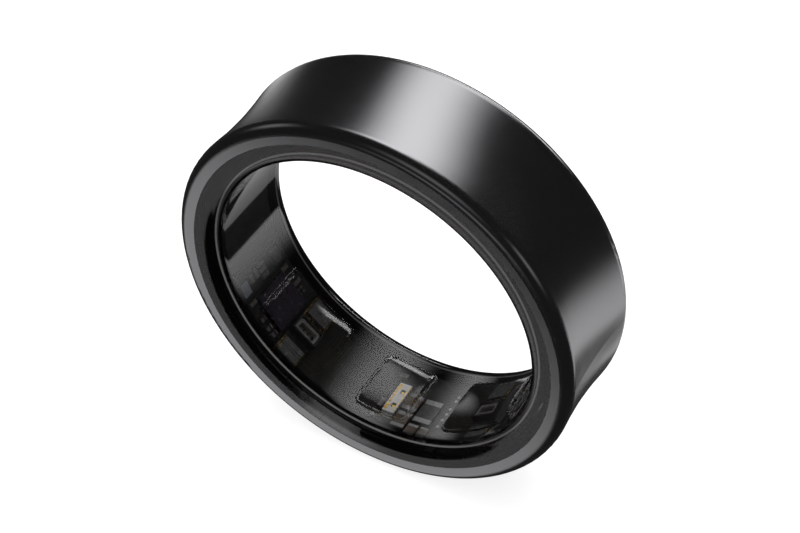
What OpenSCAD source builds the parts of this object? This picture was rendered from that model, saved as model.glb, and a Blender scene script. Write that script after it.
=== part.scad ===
// Smart ring: a dished metal band lined with clear moulded resin, over a curved battery and a
// board that follows the curve. The finger goes through along Y, the front rim faces -Y, and the
// three raised sensor windows are at the bottom, so the ring stands on its lips at Z = 0.
// Angles run round the ring from straight down, positive towards +X. A place on the board is its
// length along the board from straight down, and a place across the board is along the finger,
// positive towards the front rim.

/* [Ring] */
// Bore, the size of the finger
bore_d = 19.05; // [16:0.05:23]
// Width of the ring along the finger
ring_w = 7; // [6.6:0.1:8.4]
// Depth of the space for the parts inside, from the lining to the metal band
inside_depth = 1.37; // [1.3:0.01:1.8]
// Turn of everything inside the ring from straight down
turn = -1.1; // [-5:0.1:5]

/* [Metal band] */
// Round of the two lips
lip_round = 0.6; // [0.45:0.01:0.62]
// Depth of the dish between the lips
dish = 0.164; // [0.08:0.002:0.2]
// Thickness of the band at the middle of the dish
band_t = 0.496; // [0.44:0.002:0.52]
// Thickness of the flange that closes each side of the band
flange_t = 0.5; // [0.35:0.01:0.55]
// Reach of each flange inwards from the band's inner wall
flange_reach = 0.43; // [0.3:0.01:0.5]

/* [Resin lining] */
// Round between the bore and each rim
liner_round = 0.76; // [0.6:0.01:1]
// Thickness of the lining over the parts inside
liner_t = 0.45; // [0.35:0.01:0.5]
// Thickness of the lining between each rim and the parts inside
rim_t = 0.9; // [0.8:0.01:1]
// Height of the windows over the bore
window_h = 0.3; // [0.15:0.01:0.4]
// Height of the low step round each window
window_step_h = 0.1; // [0.05:0.01:0.14]
// Width of the low step round each window
window_step = 0.15; // [0.1:0.01:0.25]
// Corner round of the windows
window_round = 0.45; // [0.35:0.01:0.6]
// Gap along the finger between each rim and the windows
window_edge = 1.425; // [1.2:0.005:1.8]
// Width of the two side windows round the ring
side_window_w = 5.33; // [5:0.01:5.6]
// Width of the centre window round the ring
centre_window_w = 3.4; // [2.8:0.01:3.8]

/* [Board] */
// Thickness of the flexible board
flex_t = 0.12; // [0.08:0.01:0.16]
// Thickness of the stiff board sections
plate_t = 0.25; // [0.2:0.01:0.28]
// Gap at each long edge between the board and the lining
board_side_gap = 0.1; // [0.05:0.01:0.3]
// Width of the centre section
centre_section_w = 4.76; // [4.7:0.01:5]
// Width of the two sections with the optical sensors
optics_section_w = 2; // [1.96:0.01:2.1]
// Width of the two sections with the large chips
chip_section_w = 3; // [2.96:0.01:3.1]
// Width of the two end sections
end_section_w = 1.5; // [1.46:0.01:1.7]
// Width of the section with the charging circuit
charge_section_w = 1.8; // [1.7:0.01:1.9]
// Length along the board from the centre window to each optical sensor
optics_pitch = 7.19; // [7.05:0.01:7.5]
// Length along the board from the centre window to the middle of the centre section
centre_section_at = 1.45; // [1.2:0.01:1.6]
// Length of flexible board left free between neighbouring sections
bend_gap = 0.12; // [0.08:0.01:0.2]

/* [Chips and sensors] */
// Side of the processor
processor_w = 2.5; // [2:0.05:2.6]
// Height of the processor
processor_h = 0.55; // [0.4:0.01:0.6]
// Side of the power chip
power_chip_w = 2.2; // [1.8:0.05:2.5]
// Length of the lamp frames along the finger
lamp_l = 0.82; // [0.7:0.01:0.9]
// Height of the lamp frames
lamp_h = 0.5; // [0.3:0.01:0.52]
// Gap between the lining and the light barrier round each lamp
barrier_clear = 0.22; // [0.1:0.01:0.35]
// Height of the white emitter block
emitter_h = 0.45; // [0.35:0.01:0.5]

/* [Power] */
// Gap between the battery and the lining at each side
battery_side_gap = 0.3; // [0.2:0.01:0.6]
// Edge round of the battery
battery_round = 0.3; // [0.15:0.01:0.4]
// Length of the sealed flap at each end of the battery
flap_l = 1; // [0.7:0.01:1.3]
// Length along the board between the last section and the battery's flap
battery_gap = 0.6; // [0.3:0.01:1.2]
// Sweep of the charging coil round the ring, in degrees
coil_sweep = 84; // [50:1:110]
// Width of the coil's winding
coil_winding_w = 1.15; // [0.8:0.01:1.3]
// Length of the antenna along the ring
antenna_l = 12; // [6:0.1:20]

/* [Hidden] */
$fn = 96;

// Overrun of every cut
over = 1;
// Seat between the flexible board and the band
seat = 0.03;

// Radii from the bore out to the crest of the lips
bore_r = bore_d / 2;
pocket_r = bore_r + liner_t;
channel_r = pocket_r + inside_depth;
waist_r = channel_r + band_t;
crest_r = waist_r + dish;
flange_r = channel_r - flange_reach;
half_w = ring_w / 2;
channel_z = half_w - flange_t;
lip_r = crest_r - lip_round;
lip_z = half_w - lip_round;
// The dish is an arc that runs tangent into both lips
dish_rise = lip_round - dish;
dish_r = (dish_rise * dish_rise + lip_z * lip_z - lip_round * lip_round) / (2 * dish);
dish_lean = asin(lip_z / (dish_r + lip_round));
join_z = lip_z - lip_round * sin(dish_lean);

// Half width of the pocket in the lining that holds everything inside
pocket_z = half_w - rim_t;

// The flexible board's inner face at its bends, and its width
board_r = channel_r - seat - flex_t;
board_w = 2 * (pocket_z - board_side_gap);
// Reveal of the flexible board round each stiff plate
plate_reveal = 0.06;
// Notch that narrows the board at each bend, and the angle between the points of a bend
bend_notch = 0.35;
bend_step = 4;

// Sections of the board: the length along it to the section's middle, and the section's width
optics_step = (optics_section_w + chip_section_w) / 2 + bend_gap;
end_step = (chip_section_w + end_section_w) / 2 + bend_gap;
charge_step = (end_section_w + charge_section_w) / 2 + bend_gap;
centre_section = [centre_section_at, centre_section_w];
left_optics = [-optics_pitch, optics_section_w];
right_optics = [optics_pitch, optics_section_w];
processor_section = [-optics_pitch - optics_step, chip_section_w];
power_section = [optics_pitch + optics_step, chip_section_w];
radio_section = [processor_section[0] - end_step, end_section_w];
motion_section = [power_section[0] + end_step, end_section_w];
charge_section = [motion_section[0] + charge_step, charge_section_w];
SECTIONS = [
    radio_section, processor_section, left_optics, centre_section, right_optics,
    power_section, motion_section, charge_section
];

// Angle of a length along the board, and the half angle that a section takes
function board_angle(length) = length / board_r * 180 / PI;
function half_angle(section) = asin(section[1] / 2 / board_r);
function starts_at(section) = board_angle(section[0]) - half_angle(section);
function ends_at(section) = board_angle(section[0]) + half_angle(section);
// Distance from the ring's axis to a section's flexible face, and to its plate's face
function flat_r(section) = sqrt(board_r * board_r - section[1] * section[1] / 4);
function face_r(section) = flat_r(section) - plate_t;

// A point on a circle round the ring's axis, and a list turned back to front
function on_circle(r, angle) = r * [cos(angle + turn - 90), sin(angle + turn - 90)];
function reversed(list) = [for (i = [len(list) - 1 : -1 : 0]) list[i]];

// Everything is drawn round the Z axis with the front rim up, then stood on its lips
module stand() {
    translate([0, 0, crest_r]) rotate([90, 0, 0]) children();
}

module at_angle(angle) {
    rotate([0, 0, angle + turn - 90]) children();
}

// A ring of rectangular section, whole or from one angle to another
module hoop(r_in, r_out, z_low, z_high) {
    rotate_extrude() translate([r_in, z_low]) square([r_out - r_in, z_high - z_low]);
}

module hoop_part(r_in, r_out, z_low, z_high, from, to) {
    at_angle(from)
        rotate_extrude(angle = to - from)
            translate([r_in, z_low]) square([r_out - r_in, z_high - z_low]);
}

// A quarter disc, with its straight sides along the two axes
module quarter_disc(r) {
    intersection() {
        circle(r);
        square(r + over);
    }
}

// A rectangle with round corners, centred
module rounded(w, l, r) {
    square([w, l - 2 * r], center = true);
    for (side = [-1, 1])
        translate([0, side * (l - r) / 2]) square([w - 2 * r, r], center = true);
    for (i = [0, 1], j = [0, 1])
        mirror([i, 0]) mirror([0, j]) translate([w / 2 - r, l / 2 - r]) quarter_disc(r);
}

// Stands a flat outline up, so that it faces along X with its width along Y and its length along Z
module facing(depth) {
    rotate([90, 0, 90]) linear_extrude(depth) children();
}

// Puts a piece on a section's plate, where -X is up from the plate
module on_plate(section) {
    at_angle(board_angle(section[0])) translate([face_r(section), 0, 0]) children();
}

// Usable half width and half length of a plate. A row of shares holds a part's place across and
// along, then its width and length, each as a share of these halves.
function half_plate(section) = section[1] / 2 - plate_reveal;
half_board = board_w / 2 - plate_reveal;

module at_share(section, row) {
    on_plate(section) translate([0, row[0] * half_plate(section), row[1] * half_board]) children();
}

// A block on a plate: its width round the ring, length along the finger, height, and place
module chip(w, l, h, across = 0, along = 0) {
    translate([-h, across - w / 2, along - l / 2]) cube([h, w, l]);
}

// The same block with round corners
module round_chip(w, l, h, r, across = 0, along = 0) {
    translate([-h, across, along]) facing(h) rounded(w, l, r);
}

// Metal band

module lip_section(side) {
    mirror([0, side])
        intersection() {
            translate([lip_r, lip_z]) circle(lip_round);
            translate([lip_r, join_z]) square([lip_round + over, half_w - join_z + over]);
        }
}

module dish_section() {
    difference() {
        translate([lip_r, -join_z]) square([lip_round + over, 2 * join_z]);
        translate([waist_r + dish_r, 0]) circle(dish_r, $fn = 720);
    }
}

module outer_shell() {
    color([0.09, 0.09, 0.1])
        rotate_extrude($fn = 192)
            difference() {
                union() {
                    translate([flange_r, -half_w]) square([lip_r - flange_r, ring_w]);
                    dish_section();
                    lip_section(0);
                    lip_section(1);
                }
                translate([flange_r - over, -channel_z])
                    square([channel_r - flange_r + over, 2 * channel_z]);
            }
}

// Resin lining with its three raised windows

module liner_section() {
    straight_z = half_w - liner_round;
    difference() {
        union() {
            translate([bore_r, -straight_z]) square([flange_r - bore_r, 2 * straight_z]);
            for (side = [0, 1]) mirror([0, side]) {
                translate([bore_r + liner_round, straight_z])
                    square([flange_r - bore_r - liner_round, liner_round]);
                translate([bore_r + liner_round, straight_z]) mirror([1, 0]) quarter_disc(liner_round);
            }
            translate([flange_r, -channel_z]) square([channel_r - flange_r, 2 * channel_z]);
        }
        translate([pocket_r, -pocket_z]) square([channel_r - pocket_r + over, 2 * pocket_z]);
    }
}

// The two side windows sit over the middle of the optical sensor and the large chip beside it
side_window_angle = board_angle(optics_pitch + optics_section_w / 3);

module window_layer(angle, w, l, r, height) {
    intersection() {
        hoop(bore_r - height, bore_r + liner_t / 2, -l, l);
        at_angle(angle) translate([bore_r / 2, 0, 0]) facing(bore_r) rounded(w, l, r);
    }
}

module window(angle, w) {
    window_l = ring_w - 2 * window_edge;
    top_w = w - 2 * window_step;
    top_l = window_l - 2 * window_step;
    window_layer(angle, w, window_l, window_round, window_step_h);
    window_layer(angle, top_w, top_l, window_round - window_step, window_h);
}

module resin_liner() {
    color([0.13, 0.13, 0.12, 0.55]) {
        rotate_extrude($fn = 192) liner_section();
        window(-side_window_angle, side_window_w);
        window(0, centre_window_w);
        window(side_window_angle, side_window_w);
    }
}

// Flexible board: flat at each section, and notched at each bend between neighbours

function section_edge(section, r) = [on_circle(r, starts_at(section)), on_circle(r, ends_at(section))];
function bend_edge(from, to, r) =
    let (count = ceil((to - from) / bend_step))
    [for (i = [1 : 1 : count - 1]) on_circle(r, from + (to - from) * i / count)];
function bend_from(i) = ends_at(SECTIONS[i]);
function bend_to(i) = starts_at(SECTIONS[i + 1]);
last_section = len(SECTIONS) - 1;
function board_edge(r) = [
    for (i = [0 : last_section])
        each concat(
            section_edge(SECTIONS[i], r),
            i < last_section ? bend_edge(bend_from(i), bend_to(i), r) : []
        )
];

module flex_board() {
    r_out = board_r + flex_t;
    color([0.2, 0.15, 0.07])
        difference() {
            linear_extrude(board_w, center = true)
                polygon(concat(board_edge(r_out), reversed(board_edge(board_r))));
            for (i = [0 : last_section - 1], side = [0, 1])
                mirror([0, 0, side])
                    hoop_part(
                        board_r - over, r_out + over, board_w / 2 - bend_notch, board_w / 2 + over,
                        bend_from(i), bend_to(i)
                    );
        }
}

module plate(section) {
    inset = 2 * plate_reveal;
    color([0.06, 0.09, 0.08])
        on_plate(section)
            translate([plate_t, 0, 0]) chip(section[1] - inset, board_w - inset, plate_t);
}

module centre_plate() plate(centre_section);
module left_optics_plate() plate(left_optics);
module right_optics_plate() plate(right_optics);
module processor_plate() plate(processor_section);
module power_plate() plate(power_section);
module radio_plate() plate(radio_section);
module motion_plate() plate(motion_section);
module charge_plate() plate(charge_section);

// Chips

processor_along = -0.045 * half_board;
processor_die_share = 0.86;
processor_die_h = 0.06;
power_chip_h = 0.45;
power_chip_along = -0.03 * half_board;
memory_w = 1.1;
memory_l = 1.5;
memory_h = 0.4;
memory_share = -0.55;
motion_w = 1.1;
motion_l = 1.4;
motion_h = 0.6;
motion_lid_step = 0.08;
motion_share = 0.5;
crystal_w = 1;
crystal_l = 0.8;
crystal_h = 0.35;
crystal_rim = 0.08;
crystal_round = 0.12;
crystal_share = 0.68;
radio_filter_w = 0.9;
radio_filter_l = 0.65;
radio_filter_h = 0.3;
radio_filter_share = 0.62;
thermistor_w = 0.4;
thermistor_l = 0.5;
thermistor_h = 0.26;
thermistor_dot = 0.08;
thermistor_shares = [-0.84, -0.14];
charge_chip_w = 1;
charge_chip_l = 1.2;
charge_chip_h = 0.4;
charge_chip_share = -0.05;

// A moulded chip with its bare die standing a little proud
module processor_chip() {
    die_w = processor_w * processor_die_share;
    color([0.17, 0.13, 0.2])
        on_plate(processor_section) {
            chip(processor_w, processor_w, processor_h - processor_die_h, along = processor_along);
            chip(die_w, die_w, processor_h, along = processor_along);
        }
}

module power_chip() {
    color([0.09, 0.09, 0.1])
        on_plate(power_section)
            chip(power_chip_w, power_chip_w, power_chip_h, along = power_chip_along);
}

module memory_chip() {
    color([0.07, 0.07, 0.08])
        on_plate(motion_section) chip(memory_w, memory_l, memory_h, along = memory_share * half_board);
}

// A sensor with a stepped lid
module motion_sensor() {
    along = motion_share * half_board;
    lid = 2 * motion_lid_step;
    color([0.35, 0.36, 0.38])
        on_plate(motion_section) {
            chip(motion_w, motion_l, motion_h / 2, along = along);
            chip(motion_w - lid, motion_l - lid, motion_h, along = along);
        }
}

// A metal can on a ceramic base, with round corners
module clock_crystal() {
    along = crystal_share * half_board;
    rim = 2 * crystal_rim;
    color([0.62, 0.6, 0.55])
        on_plate(radio_section) {
            round_chip(crystal_w, crystal_l, crystal_h / 3, crystal_round, along = -along);
            round_chip(crystal_w - rim, crystal_l - rim, crystal_h, crystal_round, along = -along);
        }
}

module radio_filter() {
    color([0.42, 0.44, 0.5])
        on_plate(radio_section)
            chip(radio_filter_w, radio_filter_l, radio_filter_h, along = radio_filter_share * half_board);
}

module temperature_sensor() {
    color([0.05, 0.05, 0.06])
        at_share(centre_section, thermistor_shares)
            difference() {
                chip(thermistor_w, thermistor_l, thermistor_h);
                translate([-thermistor_h, 0, 0])
                    rotate([0, 90, 0]) cylinder(r = thermistor_dot, h = thermistor_h / 4, center = true);
            }
}

module charge_chip() {
    color([0.08, 0.08, 0.09])
        on_plate(charge_section)
            chip(charge_chip_w, charge_chip_l, charge_chip_h, along = charge_chip_share * half_board);
}

// Optical sensors: a lamp frame between two photodiodes, with a black barrier round the lamp

lamp_share = -0.04;
lamp_round = 0.2;
lamp_wall = 0.18;
lamp_die_w = 0.24;
lamp_die_h = 0.12;
lamp_die_gap = 0.12;
barrier_gap = 0.02;
barrier_wall = 0.1;
barrier_edge = 0.02;
diode_h = 0.3;
guard_w = 0.07;
guard_gap = 0.05;
guard_edge = 0.07;
guard_h = 0.03;
lamp_along = lamp_share * half_board;
// The frame and the photodiodes fill the width of their plate
barrier_border = barrier_gap + barrier_wall;
lamp_w = 2 * (half_plate(left_optics) - barrier_border - barrier_edge);
diode_w = 2 * (half_plate(left_optics) - guard_gap - guard_w - guard_edge);
barrier_h = face_r(left_optics) - pocket_r - barrier_clear;
// The place and length of each photodiode in the room between the barrier and the plate's end
diode_shares = [0.555, 0.59];
function diode_room(side) = half_board - side * lamp_along - lamp_l / 2 - barrier_border;
function diode_l(side) = diode_shares[1] * diode_room(side);
function diode_along(side) = side * (half_board - (1 - diode_shares[0]) * diode_room(side));

module lamp_frame(section) {
    color([0.6, 0.6, 0.58])
        on_plate(section)
            difference() {
                round_chip(lamp_w, lamp_l, lamp_h, lamp_round, along = lamp_along);
                translate([over - lamp_h, 0, 0])
                    round_chip(
                        lamp_w - 2 * lamp_wall, lamp_l - 2 * lamp_wall, 2 * over,
                        lamp_round / 2, along = lamp_along
                    );
            }
}

module lamp_dies(section) {
    color([0.75, 0.72, 0.4])
        on_plate(section)
            for (i = [-1, 0, 1])
                chip(lamp_die_w, lamp_die_w, lamp_die_h, i * (lamp_die_w + lamp_die_gap), lamp_along);
}

module light_barrier(section) {
    in_w = lamp_w + 2 * barrier_gap;
    in_l = lamp_l + 2 * barrier_gap;
    color([0.03, 0.03, 0.03])
        on_plate(section)
            difference() {
                chip(
                    lamp_w + 2 * barrier_border, lamp_l + 2 * barrier_border, barrier_h,
                    along = lamp_along
                );
                translate([over - barrier_h, 0, 0]) chip(in_w, in_l, 2 * over, along = lamp_along);
            }
}

module photodiodes(section) {
    color([0.3, 0.31, 0.33])
        on_plate(section)
            for (side = [-1, 1])
                chip(diode_w, diode_l(side), diode_h, along = diode_along(side));
}

module left_lamp_frame() lamp_frame(left_optics);
module right_lamp_frame() lamp_frame(right_optics);
module left_lamp_dies() lamp_dies(left_optics);
module right_lamp_dies() lamp_dies(right_optics);
module left_light_barrier() light_barrier(left_optics);
module right_light_barrier() light_barrier(right_optics);
module left_photodiodes() photodiodes(left_optics);
module right_photodiodes() photodiodes(right_optics);

// A thin gold track round each photodiode
module diode_guard(side) {
    in_w = diode_w + 2 * guard_gap;
    in_l = diode_l(side) + 2 * guard_gap;
    difference() {
        chip(in_w + 2 * guard_w, in_l + 2 * guard_w, guard_h, along = diode_along(side));
        translate([over - guard_h, 0, 0]) chip(in_w, in_l, 2 * over, along = diode_along(side));
    }
}

module diode_guard_tracks() {
    color([0.85, 0.65, 0.25])
        for (section = [left_optics, right_optics], side = [-1, 1])
            on_plate(section) diode_guard(side);
}

// Centre emitter: a white block with square sockets for its dies and gold tracks on top

emitter_shares = [-0.5, 0.065, 0.345, 0.88];
emitter_w = emitter_shares[2] * half_plate(centre_section);
emitter_l = emitter_shares[3] * half_board;
socket_w = 0.26;
socket_depth = 0.25;
socket_across = 0.08;
socket_shares = [0.26, -0.22];
die_w = 0.14;
die_h = 0.12;
track_h = 0.02;
track_w = 0.11;
track_pad_w = 0.2;
track_pad_l = 0.42;
thin_track_w = 0.05;

module in_sockets() {
    for (share = socket_shares)
        translate([socket_depth - emitter_h, socket_across, share * emitter_l]) children();
}

module emitter_block() {
    color([0.88, 0.88, 0.86])
        at_share(centre_section, emitter_shares)
            difference() {
                chip(emitter_w, emitter_l, emitter_h);
                in_sockets() chip(socket_w, socket_w, socket_depth + over);
            }
}

module emitter_dies() {
    color([0.95, 0.75, 0.2])
        at_share(centre_section, emitter_shares) in_sockets() chip(die_w, die_w, die_h);
}

// The wide track runs down one side with a pad at each end, and the thin one down the other
module emitter_tracks() {
    pad_across = (track_pad_w - emitter_w) / 2 + track_w / 2;
    thin_across = (emitter_w - thin_track_w) / 2 - thin_track_w;
    track_l = emitter_l - track_pad_l / 2;
    color([0.85, 0.62, 0.18])
        at_share(centre_section, emitter_shares)
            translate([-emitter_h, 0, 0]) {
                chip(track_w, track_l - track_pad_l / 2, track_h, pad_across);
                for (side = [-1, 1])
                    chip(track_pad_w, track_pad_l, track_h, pad_across, side * (track_l - track_pad_l) / 2);
                chip(thin_track_w, track_l, track_h, thin_across);
            }
}

// Capacitors and the inductor, each a body between two ends

cap_h = 0.45;
cap_end_share = 0.22;
large_cap_shares = [
    [-0.06, 0.605, 0.388, 0.49],
    [-0.06, 0.035, 0.388, 0.49],
    [0.345, 0.8, 0.303, 0.324],
    [0.68, 0.8, 0.24, 0.324]
];
inductor_h = 0.46;
inductor_end_share = 0.2;
inductor_shares = [0.46, 0.165, 0.496, 0.738];

module middle(w, l, h, end_share) {
    chip(w, l * (1 - 2 * end_share), h);
}

module ends(w, l, h, end_share) {
    for (side = [-1, 1]) chip(w, l * end_share, h, along = side * l * (1 - end_share) / 2);
}

module centre_middle(row, h, end_share) {
    at_share(centre_section, row)
        middle(row[2] * half_plate(centre_section), row[3] * half_board, h, end_share);
}

module centre_ends(row, h, end_share) {
    at_share(centre_section, row)
        ends(row[2] * half_plate(centre_section), row[3] * half_board, h, end_share);
}

module large_capacitors() {
    color([0.24, 0.18, 0.15])
        for (row = large_cap_shares) centre_middle(row, cap_h, cap_end_share);
}

module large_capacitor_ends() {
    color([0.6, 0.6, 0.6])
        for (row = large_cap_shares) centre_ends(row, cap_h, cap_end_share);
}

module power_inductor() {
    color([0.28, 0.28, 0.28]) centre_middle(inductor_shares, inductor_h, inductor_end_share);
}

module inductor_ends() {
    color([0.6, 0.6, 0.6]) centre_ends(inductor_shares, inductor_h, inductor_end_share);
}

// Small capacitors. Each row has the section, the place across as a share of the plate's half
// width, the place along, and whether the part lies across the finger.
small_cap_w = 0.28;
small_cap_l = 0.58;
small_cap_h = 0.3;
small_cap_end_share = 0.25;
part_gap = 0.1;
// Distance from the middle of a chip to the middle of a capacitor beside it
function clear_of(chip_w, cap) = chip_w / 2 + part_gap + cap / 2;
processor_near = processor_along - clear_of(processor_w, small_cap_l);
processor_far = processor_along + clear_of(processor_w, small_cap_l);
power_near = power_chip_along - clear_of(power_chip_w, small_cap_w);
power_far = power_chip_along + clear_of(power_chip_w, small_cap_l);
small_caps = [
    [processor_section, -0.86, processor_far, false],
    [processor_section, -0.04, processor_far, false],
    [processor_section, 0.42, processor_far, false],
    [processor_section, 0.76, processor_far, false],
    [processor_section, -0.86, processor_near, false],
    [processor_section, -0.04, processor_near, false],
    [radio_section, -0.3, 0.32 * half_board, true],
    [radio_section, -0.3, 0.12 * half_board, true],
    [radio_section, 0.5, -0.12 * half_board, false],
    [radio_section, -0.1, -0.12 * half_board, false],
    [radio_section, -0.7, -0.12 * half_board, false],
    [centre_section, -0.83, 0.64 * half_board, false],
    [centre_section, -0.83, 0.28 * half_board, false],
    [centre_section, -0.74, -0.62 * half_board, true],
    [power_section, 0.8, power_far, false],
    [power_section, 0.2, power_far, false],
    [power_section, -0.4, power_far, false],
    [power_section, 0.5, power_near, true],
    [power_section, -0.5, power_near, true],
    [charge_section, 0.1, 0.5 * half_board, false],
    [charge_section, -0.55, 0.5 * half_board, false],
    [charge_section, 0, -0.62 * half_board, true]
];

module on_small_cap(row) {
    on_plate(row[0])
        translate([0, row[1] * half_plate(row[0]), row[2]]) rotate([row[3] ? 90 : 0, 0, 0]) children();
}

module small_capacitors() {
    color([0.5, 0.46, 0.42])
        for (row = small_caps)
            on_small_cap(row) middle(small_cap_w, small_cap_l, small_cap_h, small_cap_end_share);
}

module small_capacitor_ends() {
    color([0.72, 0.72, 0.7])
        for (row = small_caps)
            on_small_cap(row) ends(small_cap_w, small_cap_l, small_cap_h, small_cap_end_share);
}

// Bare round pads for testing: one row down the edge of the centre plate, and four by the processor
pad_r = 0.1;
pad_h = 0.03;
pad_pitch = 0.3;
pad_row_share = 0.92;
pad_along_shares = [0.42, 0.2, 0, -0.18, -0.46, -0.6];
pad_block_share = 0.3;
pad_block_along = processor_along - processor_w / 2 - part_gap - pad_r;

module pad(across, along) {
    translate([-pad_h, across, along]) rotate([0, 90, 0]) cylinder(r = pad_r, h = pad_h);
}

module test_pads() {
    color([0.75, 0.72, 0.62]) {
        on_plate(centre_section)
            for (share = pad_along_shares)
                pad(pad_row_share * half_plate(centre_section), share * half_board);
        on_plate(processor_section)
            for (i = [0, 1], j = [0, 1])
                pad(
                    pad_block_share * half_plate(processor_section) + i * pad_pitch,
                    pad_block_along - j * pad_pitch
                );
    }
}

// Battery: a curved cell with a sealed flap at each end, held to the band by a tape

tape_t = 0.05;
ferrite_t = 0.1;
coil_t = 0.1;
coil_clear = 0.08;
flap_t = 0.12;
flap_lap = 0.15;
tab_t = 0.06;
tab_w = 0.7;
tab_gap = 1.3;
tab_seat = 0.02;
battery_r_out = channel_r - tape_t;
battery_r_in = pocket_r + coil_clear + coil_t + ferrite_t;
battery_half = pocket_z - battery_side_gap;
// Where the cell's two flaps begin, and where its full thickness begins
flap_from = ends_at(charge_section) + board_angle(battery_gap);
flap_to = 360 + starts_at(radio_section) - board_angle(battery_gap);
cell_from = flap_from + board_angle(flap_l);
cell_to = flap_to - board_angle(flap_l);
// The tabs lie on the charging plate, and the flap lies on the tabs
tab_r_out = face_r(charge_section) - tab_seat;
flap_r_in = tab_r_out;

module battery_section() {
    translate([(battery_r_in + battery_r_out) / 2, 0])
        rounded(battery_r_out - battery_r_in, 2 * battery_half, battery_round);
}

module battery_cell() {
    flap_half = battery_half - battery_round;
    color([0.45, 0.46, 0.48]) {
        at_angle(cell_from) rotate_extrude(angle = cell_to - cell_from) battery_section();
        hoop_part(
            flap_r_in, flap_r_in + flap_t, -flap_half, flap_half,
            flap_from, cell_from + board_angle(flap_lap)
        );
        hoop_part(
            flap_r_in, flap_r_in + flap_t, -flap_half, flap_half,
            cell_to - board_angle(flap_lap), flap_to
        );
    }
}

// Two strips from under the flap to the charging plate, either side of its chip
module battery_tabs() {
    color([0.7, 0.7, 0.68])
        for (side = [-1, 1])
            hoop_part(
                tab_r_out - tab_t, tab_r_out,
                side * tab_gap - tab_w / 2, side * tab_gap + tab_w / 2,
                ends_at(charge_section) - board_angle(charge_section_w / 4), cell_from
            );
}

module battery_tape() {
    tape_half = battery_half - battery_round;
    color([0.12, 0.12, 0.14])
        hoop_part(battery_r_out, channel_r, -tape_half, tape_half, cell_from, cell_to);
}

// Charging coil at the top of the ring, on a sheet of ferrite over the battery

coil_edge = 0.25;
coil_corner = 1.1;
coil_half = battery_half - coil_edge;
ferrite_reach = 4;

module ferrite_sheet() {
    ferrite_half = battery_half - battery_round;
    sweep = coil_sweep / 2 + ferrite_reach;
    color([0.16, 0.16, 0.17])
        hoop_part(
            battery_r_in - ferrite_t, battery_r_in, -ferrite_half, ferrite_half,
            180 - sweep, 180 + sweep
        );
}

// The winding, with its hole and its four cut corners
module charging_coil() {
    coil_r_out = battery_r_in - ferrite_t;
    hole_half = coil_half - coil_winding_w;
    from = 180 - coil_sweep / 2;
    to = 180 + coil_sweep / 2;
    winding_angle = board_angle(coil_winding_w);
    color([0.72, 0.4, 0.22])
        difference() {
            hoop_part(coil_r_out - coil_t, coil_r_out, -coil_half, coil_half, from, to);
            hoop_part(
                coil_r_out - over, coil_r_out + over, -hole_half, hole_half,
                from + winding_angle, to - winding_angle
            );
            for (angle = [from, to], side = [-1, 1])
                at_angle(angle)
                    translate([coil_r_out, 0, side * coil_half])
                        rotate([45, 0, 0]) cube([over, coil_corner, coil_corner], center = true);
        }
}

// Antenna: a gold track that winds to and fro on a thin film against the battery's front side

film_t = 0.06;
film_edge = 0.12;
film_end = 0.4;
film_from = cell_from + board_angle(film_end);
film_to = film_from + board_angle(antenna_l);
track_t = 0.03;
antenna_track_w = 0.1;
antenna_runs = 18;
film_r_in = battery_r_in + battery_round;
film_r_out = battery_r_out - battery_round;
antenna_r_in = film_r_in + film_edge / 2;
antenna_r_out = film_r_out - film_edge / 2;
antenna_from = film_from + board_angle(film_end);
antenna_step = board_angle(antenna_l - 2 * film_end) / antenna_runs;
antenna_half_track = board_angle(antenna_track_w) / 2;

module antenna_film() {
    color([0.3, 0.2, 0.08])
        hoop_part(film_r_in, film_r_out, battery_half, battery_half + film_t, film_from, film_to);
}

// One corner of the track's edge: the side is 1 for the edge nearer the band, -1 for the other
function track_corner(i, r, side) =
    let (angle = antenna_from + i * antenna_step - side * (i % 2 == 0 ? 1 : -1) * antenna_half_track)
    on_circle(r + side * antenna_track_w / 2, angle);
function track_run(i) = i % 2 == 0 ? [antenna_r_in, antenna_r_out] : [antenna_r_out, antenna_r_in];
function track_edge(side) = [for (i = [0 : antenna_runs], r = track_run(i)) track_corner(i, r, side)];

module antenna_track() {
    color([0.85, 0.65, 0.25])
        translate([0, 0, battery_half + film_t])
            linear_extrude(track_t) polygon(concat(track_edge(1), reversed(track_edge(-1))));
}

stand() outer_shell();
stand() resin_liner();
stand() flex_board();
stand() centre_plate();
stand() left_optics_plate();
stand() right_optics_plate();
stand() processor_plate();
stand() power_plate();
stand() radio_plate();
stand() motion_plate();
stand() charge_plate();
stand() processor_chip();
stand() power_chip();
stand() radio_filter();
stand() motion_sensor();
stand() memory_chip();
stand() clock_crystal();
stand() temperature_sensor();
stand() charge_chip();
stand() left_lamp_frame();
stand() right_lamp_frame();
stand() left_lamp_dies();
stand() right_lamp_dies();
stand() left_light_barrier();
stand() right_light_barrier();
stand() left_photodiodes();
stand() right_photodiodes();
stand() diode_guard_tracks();
stand() emitter_block();
stand() emitter_dies();
stand() emitter_tracks();
stand() large_capacitors();
stand() large_capacitor_ends();
stand() power_inductor();
stand() inductor_ends();
stand() small_capacitors();
stand() small_capacitor_ends();
stand() test_pads();
stand() battery_cell();
stand() battery_tabs();
stand() battery_tape();
stand() ferrite_sheet();
stand() charging_coil();
stand() antenna_film();
stand() antenna_track();
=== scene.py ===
import math

import bmesh
import bpy
from mathutils import Matrix, Vector


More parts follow.
